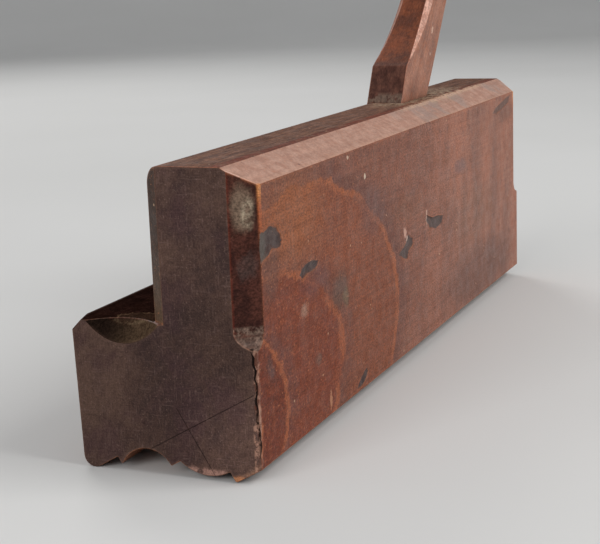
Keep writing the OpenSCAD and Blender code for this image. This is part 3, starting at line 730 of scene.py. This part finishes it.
def wedge_material():
    t = Tree("old_beech_wedge")
    p, n = t.place()
    x, y, z = t.xyz(p)
    nx, ny, nz = t.xyz(n)
    run, off = along_bed(t, y, z)
    knocks = t.noise(p, 0.5, 5, 0.62)
    worn = t.noise(p, 0.3, 5, 0.65)
    patches = t.noise(p, 0.09, 4, 0.58, 0.3)
    fringe = t.noise(p, 0.8, 3, 0.6)

    # Sides: pinkish beige, rubbed paler along the middle
    color = t.ramp(
        patches,
        (0.3, srgb(138, 94, 77)),
        (0.48, srgb(157, 108, 88)),
        (0.6, srgb(168, 117, 95)),
        (0.72, srgb(178, 124, 100)),
    )
    color = t.tint(color, t.step(worn, 0.5, 0.64), 0.4, srgb(168, 104, 74))
    # Front: dark with handling, orange where it is rubbed on the neck
    facing = t.add(t.mul(ny, -BED_SIN), t.mul(nz, BED_COS))  # 1 on the front face, -1 on the back
    front = t.step(facing, 0.55, 0.75)
    front = t.mul(front, t.step(t.math("ABSOLUTE", nx), 0.5, 0.25))
    handled = t.mix(t.step(patches, 0.4, 0.6), srgb(80, 44, 31), srgb(112, 60, 38))
    handled = t.tint(handled, t.step(worn, 0.46, 0.62), 0.45, srgb(130, 68, 40))
    color = t.tint(color, front, 0.92, handled)
    low = t.mul(front, t.step(run, NECK_RUN + 3.0, NECK_RUN + 0.5))
    below_nose = t.mix(t.step(worn, 0.38, 0.62), srgb(72, 44, 37), srgb(92, 60, 50))
    color = t.tint(color, low, 0.9, below_nose)
    foot = t.mul(t.mul(front, t.band(z, 76.0, 79.0, 0.9)), t.step(knocks, 0.38, 0.54))
    color = t.tint(color, foot, 0.6, srgb(122, 104, 90))
    # Neck chamfers: polished pale pink with painted light on the blind side, brown on the other
    right = t.mul(t.band(nx, 0.4, 0.92, 0.08), t.step(run, NECK_RUN, NECK_RUN + 1.5))
    amount = t.mul(right, 0.85)
    # Painted light: the blind side's chamfer is pale pink as if the key light falls on it
    pink = t.mix(t.step(knocks, 0.36, 0.6), srgb(178, 126, 106), srgb(214, 166, 146))
    color = t.mix(amount, color, pink)
    left = t.mul(t.band(nx, -0.92, -0.4, 0.08), t.step(run, NECK_RUN, NECK_RUN + 1.5))
    color = t.tint(color, left, 0.7, srgb(150, 82, 50))
    back = t.step(facing, -0.6, -0.85)
    color = t.tint(color, back, 0.6, srgb(128, 82, 62))
    in_mortise = t.step(z, TOP_Z - 0.2, TOP_Z - 1.7)
    color = t.tint(color, in_mortise, 0.6, srgb(136, 98, 72))
    # The head's end grain and the bruises left by knocking the wedge loose
    facing_up = t.math("ABSOLUTE", t.add(t.mul(ny, BED_COS), t.mul(nz, BED_SIN)))
    ends = t.step(facing_up, 0.72, 0.95)
    color = t.tint(color, ends, 0.5, srgb(86, 56, 46))
    bruised = t.step(run, HEAD_RUN, HEAD_RUN + 8)
    bruised = t.mul(bruised, t.mul(t.step(knocks, 0.5, 0.6), t.step(worn, 0.42, 0.54)))
    color = t.tint(color, bruised, 0.6, srgb(72, 52, 46))
    for centre, radii, tone in WEDGE_MARKS:
        spot = t.step(t.add(t.blob(run, off, centre, radii), t.sway(fringe, 2.0)), 1.05, 0.65)
        color = t.tint(color, t.mul(spot, t.step(nx, 0.7, 0.9)), 0.75, tone)

    # Grain along the wedge
    streaks = t.noise(t.pack(x, t.mul(run, 0.03), off), 0.9, 4, 0.6)
    pores = t.noise(t.pack(x, t.mul(run, 0.4), off), 2.0, 3, 0.62)
    shade = t.mul(t.step(streaks, 0.3, 0.7, 0.84, 1.16), t.step(pores, 0.3, 0.7, 0.78, 1.24))
    color = t.shade(color, shade)
    nicks = t.mul(t.step(t.cells(p, 0.25), 0.12, 0.07), t.step(worn, 0.44, 0.38))
    color = t.tint(color, nicks, 0.6, srgb(52, 34, 30))
    edge = t.edge(0.7)
    hollow = t.hollow(4.0)
    rub = t.mul(edge, t.step(worn, 0.34, 0.54))
    color = t.tint(color, rub, 0.65, srgb(184, 104, 66))
    # Painted shade: darker where ambient occlusion finds a tight inner corner
    color = t.mix(t.step(hollow, 0.35, 0.85, 0.0, 0.65), color, srgb(34, 22, 18))
    rough = t.step(t.noise(p, 0.3, 3, 0.6), 0.3, 0.7, 0.36, 0.54)
    gloss = t.math("SUBTRACT", 0.28, t.mul(front, 0.18))
    swell = t.mul(t.noise(p, 0.16, 3, 0.6), 1.8)
    height = t.add(swell, t.add(pores, t.mul(streaks, 0.7)))
    height = t.add(height, t.mul(t.top(bruised, foot), t.mul(knocks, 1.2)))
    return t.finish(color, rough, height, 0.12, Specular_IOR_Level=gloss)


# --- Iron -----------------------------------------------------------------------------------


def iron_material():
    t = Tree("old_steel_iron")
    p, n = t.place()
    x, y, z = t.xyz(p)
    _, ny, nz = t.xyz(n)
    run = t.add(t.mul(t.add(y, -BED_FOOT), BED_COS), t.mul(z, BED_SIN))
    blotch = t.noise(p, 0.16, 5, 0.62, 0.5)
    fine = t.noise(p, 1.7, 3, 0.65)
    color = t.ramp(
        t.add(t.mul(blotch, 0.8), t.mul(fine, 0.2)),
        (0.36, srgb(62, 52, 47)),
        (0.5, srgb(86, 76, 70)),
        (0.64, srgb(112, 104, 98)),
    )
    rust = t.mul(t.step(t.noise(p, 0.4, 4, 0.7, 0.4), 0.54, 0.66), t.step(run, 6, 18))
    amount = t.mul(rust, 0.75)
    color = t.mix(amount, color, t.mix(fine, srgb(92, 52, 34), srgb(128, 78, 50)))
    # Ground bevel and the honed strip above the edge
    behind = t.step(t.add(t.mul(ny, BED_SIN), t.mul(nz, -BED_COS)), 0.75, 0.6)
    under = t.step(nz, -0.25, -0.5)
    ground = t.mul(under, behind)
    stone = t.noise(t.pack(t.mul(x, 0.25), t.mul(y, 5.0), t.mul(z, 5.0)), 1.0, 2)
    bright = t.mix(stone, srgb(150, 148, 144), srgb(196, 194, 190))
    honed = t.step(t.add(run, t.mul(blotch, 5.0)), 9.0, 5.0)
    color = t.mix(t.top(ground, t.mul(honed, 0.75)), color, bright)
    edge = t.edge(0.5)
    color = t.tint(color, t.mul(edge, t.step(fine, 0.4, 0.6)), 0.5, srgb(150, 142, 134))
    rough = t.add(t.step(blotch, 0.35, 0.65, 0.5, 0.34), t.mul(rust, 0.3))
    metal = t.math("SUBTRACT", 0.92, t.mul(rust, 0.85), clamp=True)
    height = t.add(t.mul(fine, 0.4), t.add(t.mul(rust, 0.8), t.mul(blotch, 1.2)))
    return t.finish(color, rough, height, 0.08, metal=metal)


# --- Damage ---------------------------------------------------------------------------------

# Outlines of the dents in the blind side: each one's depth, then its places along and up
DENTS = (
    (0.55, (-116.6, 60.6), (-113.6, 60.4), (-110.3, 61.5), (-106.9, 60.4), (-104.6, 58.4),
     (-103.4, 56.4), (-104.4, 54.7), (-107.0, 54.9), (-109.4, 55.4), (-111.4, 54.2), (-114.0, 53.6),
     (-116.8, 52.4), (-117.4, 56.8)),
    (0.45, (-94.1, 45.4), (-92.4, 46.8), (-89.5, 47.7), (-85.5, 47.8), (-80.7, 46.9), (-82.2, 45.5),
     (-85.6, 45.0), (-89.6, 44.9), (-92.4, 44.2)),
    (0.6, (-10.2, 40.3), (-5.7, 38.4), (-5.3, 36.2), (-9.7, 35.2), (-10.7, 32.8), (-13.5, 33.3),
     (-16.8, 34.6), (-19.5, 35.3), (-17.6, 36.4), (-13.3, 37.6), (-11.2, 38.8)),
    (0.6, (7.7, 43.2), (11.3, 42.0), (14.3, 41.2), (20.4, 40.9), (26.4, 39.8), (24.9, 37.8),
     (17.4, 36.9), (11.1, 38.4), (9.2, 40.0), (7.2, 41.2)),
    (0.5, (-48.3, 9.3), (-50.6, 8.7), (-53.1, 7.6), (-55.4, 6.2), (-56.9, 4.9), (-54.6, 5.0),
     (-51.4, 5.2), (-48.6, 6.4), (-47.0, 8.2)),
    (0.3, (113.3, 70.9), (109.0, 70.9), (102.3, 69.8), (96.0, 68.9), (89.7, 67.9), (85.4, 66.2),
     (90.9, 65.6), (98.0, 66.3), (104.4, 67.3), (110.5, 68.2)),
)
# A dent's rings from its middle out: share of the outline and share of the depth. The last one
# stands off the surface, so that the cutter breaks cleanly through it.
DENT_RINGS = ((0.25, 1.0), (0.5, 0.93), (0.72, 0.74), (0.88, 0.45), (1.0, 0.0), (1.04, -0.6))
# Heights of the chips along the toe's arris beside the split
CHIP_HEIGHTS = (30.2, 27.4, 23.2, 19.8, 16.6, 13.1, 8.6)
# Lumps knocked off the fence's tip and the sole's arris at the toe: place and size
TOE_LUMPS = (
    ((18.0, TOE_Y + 0.5, -0.95), (1.9, 5.0, 1.25)),
    ((22.4, TOE_Y - 0.9, 1.4), (1.2, 1.3, 0.7)),
    ((9.2, TOE_Y - 0.9, 0.4), (2.4, 1.6, 0.9)),
)
# Width and depth of the split and of the scribed lines
CRACK_CUT = (0.5, 1.3)
SCRIBE_CUT = (0.17, 0.2)
SCRIBE_STEPS = 6
DAMAGE_SEED = 7


def add_mesh(name, bm):
    mesh = bpy.data.meshes.new(name)
    bmesh.ops.recalc_face_normals(bm, faces=bm.faces)
    bm.to_mesh(mesh)
    bm.free()
    obj = bpy.data.objects.new(name, mesh)
    bpy.context.scene.collection.objects.link(obj)
    return obj


def dent_shape(bm, rng, deep, outline):
    """A bowl sunk in the blind side, with a steep ragged rim and an uneven bottom."""
    n = len(outline)
    cy, cz = (sum(q[k] for q in outline) / n for k in (0, 1))
    loop = []
    for i in range(n):
        (ay, az), (by, bz) = outline[i], outline[(i + 1) % n]
        for k in range(4):
            f = k / 4
            loop.append((ay + (by - ay) * f, az + (bz - az) * f, rng.uniform(0.94, 1.06)))
    rings = []
    for share, depth in DENT_RINGS:
        ring = []
        for y, z, jag in loop:
            k = share * (1 + (jag - 1) * share)
            d = deep * depth * (rng.uniform(0.85, 1.1) if 0 < depth else 1)
            at = Vector((BLIND_X - d, cy + (y - cy) * k, cz + (z - cz) * k))
            ring.append(bm.verts.new(at * MM))
        rings.append(ring)
    for r0, r1 in zip(rings, rings[1:]):
        for i in range(len(loop)):
            k = (i + 1) % len(loop)
            bm.faces.new((r0[i], r0[k], r1[k], r1[i]))
    for ring, depth in ((rings[0], 1.02), (rings[-1], -0.62)):
        mid = bm.verts.new(Vector((BLIND_X - deep * depth, cy, cz)) * MM)
        for i in range(len(loop)):
            bm.faces.new((ring[i], ring[(i + 1) % len(loop)], mid))


def groove_shape(bm, points, wide, deep, rng):
    """A V-shaped groove along points on the toe, given as x and z."""
    rings = []
    for i, (x, z) in enumerate(points):
        a = points[max(i - 1, 0)]
        b = points[min(i + 1, len(points) - 1)]
        along = Vector((b[0] - a[0], 0, b[1] - a[1])).normalized()
        side = Vector((along.z, 0, -along.x))
        end = i in (0, len(points) - 1)
        w = wide * (0.35 if end else rng.uniform(0.75, 1.25)) / 2
        d = deep * (0.3 if end else rng.uniform(0.7, 1.25))
        base = Vector((x, TOE_Y, z))
        flare, clear = Vector((0, -0.6 * w, 0)), Vector((0, 0.2, 0))
        corners = (
            base + side * w * 1.6 + flare - clear,
            base + Vector((0, d, 0)) + side * rng.uniform(-0.3, 0.3) * w,
            base - side * w * 1.6 + flare - clear,
        )
        rings.append([bm.verts.new(q * MM) for q in corners])
    for r0, r1 in zip(rings, rings[1:]):
        for k in range(3):
            bm.faces.new((r0[k], r0[(k + 1) % 3], r1[(k + 1) % 3], r1[k]))
    bm.faces.new(rings[0][::-1])
    bm.faces.new(rings[-1])


def chip_shape(bm, rng, at, size, subdivisions=2):
    """A jagged lump that breaks a piece out of an arris."""
    made = bmesh.ops.create_icosphere(bm, subdivisions=subdivisions, radius=1.0)["verts"]
    for v in made:
        k = rng.uniform(0.8, 1.2)
        lump = Vector((v.co.x * size[0], v.co.y * size[1], v.co.z * size[2]))
        v.co = (Vector(at) + lump * k) * MM


def make_cutter(name, build, material):
    bm = bmesh.new()
    build(bm)
    obj = add_mesh(name, bm)
    obj.data.materials.append(material)
    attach(obj, "stock")
    obj.hide_render = True
    obj.hide_viewport = True
    return obj


def damage_stock(wood):
    """Cuts the dents, knocks, split and lines. The cutters share one random series, so their order
    stays as it is."""
    rng = random.Random(DAMAGE_SEED)

    def dents(bm):
        for deep, *outline in DENTS:
            dent_shape(bm, rng, deep, outline)

    def crack(bm):
        groove_shape(bm, CRACK, *CRACK_CUT, rng)

    def line(bm, k):
        (ax, az), (bx, bz) = SCRIBES[k]
        n = SCRIBE_STEPS
        points = [(ax + (bx - ax) * i / n, az + (bz - az) * i / n) for i in range(n + 1)]
        groove_shape(bm, points, *SCRIBE_CUT, rng)

    def chips(bm):
        for z in CHIP_HEIGHTS:
            k = rng.uniform(0.5, 1.0)
            at = (BLIND_X + rng.uniform(0.25, 0.4), TOE_Y - rng.uniform(0.15, 0.35), z)
            chip_shape(bm, rng, at, (0.75 * k, 0.9 * k, 1.4 * k + 0.3), 1)

    def fence(bm):
        for at, size in TOE_LUMPS:
            chip_shape(bm, rng, at, size)

    cuts = [("cut_dents", dents), ("cut_fence", fence), ("cut_chips", chips), ("cut_crack", crack)]
    cuts += [("cut_line_a", lambda bm: line(bm, 0)), ("cut_line_b", lambda bm: line(bm, 1))]
    for name, build in cuts:
        mod = stock.modifiers.new(name, "BOOLEAN")
        mod.operation = "DIFFERENCE"
        mod.solver = "MANIFOLD"
        mod.object = make_cutter(name, build, wood)


# --- Dressing the pieces --------------------------------------------------------------------

WELD_M = 2e-6
FLAT_ANGLE, ARRIS_ANGLE = math.radians(0.3), math.radians(28)
# How far each piece's arrises are rounded, in millimetres
ROUNDING = ((stock, 0.2), (iron, 0.12), (wedge, 0.25))


def join_corners(obj):
    """Joins the split corners and makes each flat face one polygon again."""
    weld = obj.modifiers.new("weld", "WELD")
    weld.merge_threshold = WELD_M
    flat = obj.modifiers.new("flat", "DECIMATE")
    flat.decimate_type = "DISSOLVE"
    flat.angle_limit = FLAT_ANGLE


def soften(obj, width):
    """Rounds the arrises."""
    bevel = obj.modifiers.new("bevel", "BEVEL")
    bevel.width = width * MM
    bevel.segments = 2
    bevel.limit_method = "ANGLE"
    bevel.angle_limit = ARRIS_ANGLE
    bevel.use_clamp_overlap = False


def level_normals(obj):
    """Keeps large faces flat in the light next to their rounded arrises."""
    mod = obj.modifiers.new("normals", "WEIGHTED_NORMAL")
    mod.mode = "FACE_AREA"
    mod.weight = 50
    mod.keep_sharp = False


def dress():
    wood = stock_material()
    for obj, mat in ((stock, wood), (iron, iron_material()), (wedge, wedge_material())):
        obj.data.materials.clear()
        obj.data.materials.append(mat)
    for obj, width in ROUNDING:
        join_corners(obj)
        soften(obj, width)
        if obj is stock:
            damage_stock(wood)
        level_normals(obj)


# --- Stage and light ------------------------------------------------------------------------

# The floor in metres: half its width, its near end, its far end, the bend's radius, its height
HALF_WIDTH, NEAR, BACK, BEND, HIGH = 6.0, -4.0, 3.0, 1.2, 4.0
BEND_STEPS, STAGE_TURN = 12, math.radians(23.4)
# Each lamp's place and aim in metres, its size and its watts
LAMPS = (
    ("key", (1.05, 0.05, 0.95), (0, 0, 0.05), (0.8, 0.8), 11),
    ("front", (-0.25, -1.5, 0.75), (0, 0, 0.04), (0.9, 0.7), 9),
    ("rim", (-0.9, 0.9, 0.9), (0, 0, 0.06), (0.6, 0.6), 5),
)
SKY, SKY_STRENGTH = (0.8, 0.82, 0.85, 1), 0.42


def make_stage():
    """A pale floor that curves up into a backdrop."""
    bm = bmesh.new()
    profile = [(NEAR, 0.0), (BACK - BEND, 0.0)]
    for k in range(1, BEND_STEPS + 1):
        a = math.radians(k * 90 / BEND_STEPS)
        profile.append((BACK - BEND + BEND * math.sin(a), BEND - BEND * math.cos(a)))
    profile.append((BACK, HIGH))
    turn = Matrix.Rotation(STAGE_TURN, 3, "Z")
    rows = [
        [bm.verts.new(turn @ Vector((side * HALF_WIDTH, y, z))) for y, z in profile] for side in (-1, 1)
    ]
    for i in range(len(profile) - 1):
        bm.faces.new((rows[0][i], rows[1][i], rows[1][i + 1], rows[0][i + 1]))
    floor = add_mesh("floor", bm)
    for f in floor.data.polygons:
        f.use_smooth = True
    t = Tree("pale_paper")
    tone = t.noise(t.place()[0], 0.004, 2)
    color = t.mix(tone, srgb(214, 213, 210), srgb(224, 223, 221))
    shader = t.node("ShaderNodeBsdfPrincipled", {"Base Color": color, "Roughness": 0.9})
    t.node("ShaderNodeOutputMaterial", {"Surface": shader.outputs[0]})
    floor.data.materials.append(t.mat)


def make_light():
    for name, at, target, size, power in LAMPS:
        data = bpy.data.lights.new(name, "AREA")
        data.shape = "RECTANGLE"
        data.size, data.size_y = size
        data.energy = power
        obj = bpy.data.objects.new(name, data)
        bpy.context.scene.collection.objects.link(obj)
        obj.location = at
        obj.rotation_euler = (Vector(target) - Vector(at)).to_track_quat("-Z", "Y").to_euler()
    world = bpy.data.worlds.new("studio")
    bpy.context.scene.world = world
    world.use_nodes = True
    background = world.node_tree.nodes["Background"]
    background.inputs["Color"].default_value = SKY
    background.inputs["Strength"].default_value = SKY_STRENGTH
    bpy.context.scene.view_settings.view_transform = "Standard"


make_camera()
dress()
make_stage()
make_light()

bpy.context.view_layer.update()
